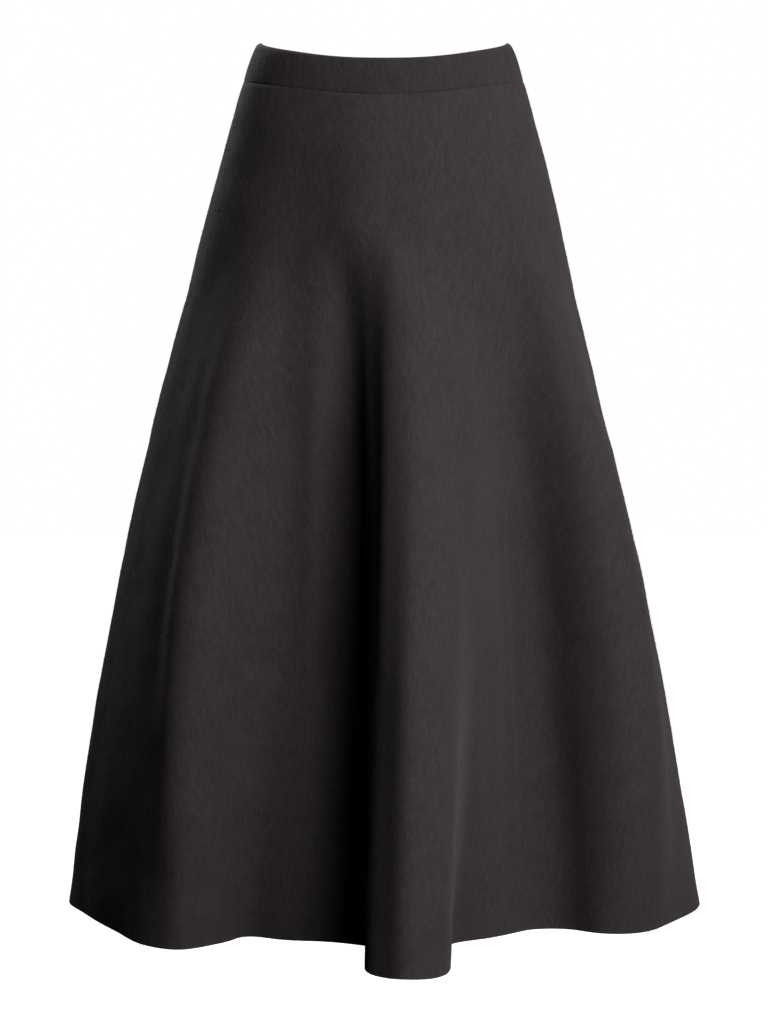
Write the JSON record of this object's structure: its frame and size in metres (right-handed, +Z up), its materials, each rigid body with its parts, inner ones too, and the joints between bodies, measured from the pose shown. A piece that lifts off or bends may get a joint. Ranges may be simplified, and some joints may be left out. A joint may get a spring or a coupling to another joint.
{
  "type": "flared midi skirt",
  "caption": "Pull-on flared midi skirt of thick dark wool knit with an elastic waistband, hanging open in deep soft flutes as if worn.",
  "frame": {"origin": "middle of the waist ring, half way up the waistband at the side seams, where the wearer holds the skirt", "axes": "+Z up along the hanging cloth, -Y the front of the skirt, +X the right of someone who faces the front"},
  "size_m": [0.5778, 0.6495, 0.7789],
  "materials": {
    "skirt_knit": "felted wool double knit, charcoal, matt with a short nap",
    "waistband_knit": "the same knit, doubled over a flat elastic"
  },
  "bodies": {
    "root": {"skirt_front": "skirt_knit", "skirt_back": "skirt_knit", "waistband_front": "waistband_knit", "waistband_back": "waistband_knit"}
  },
  "joints": []
}
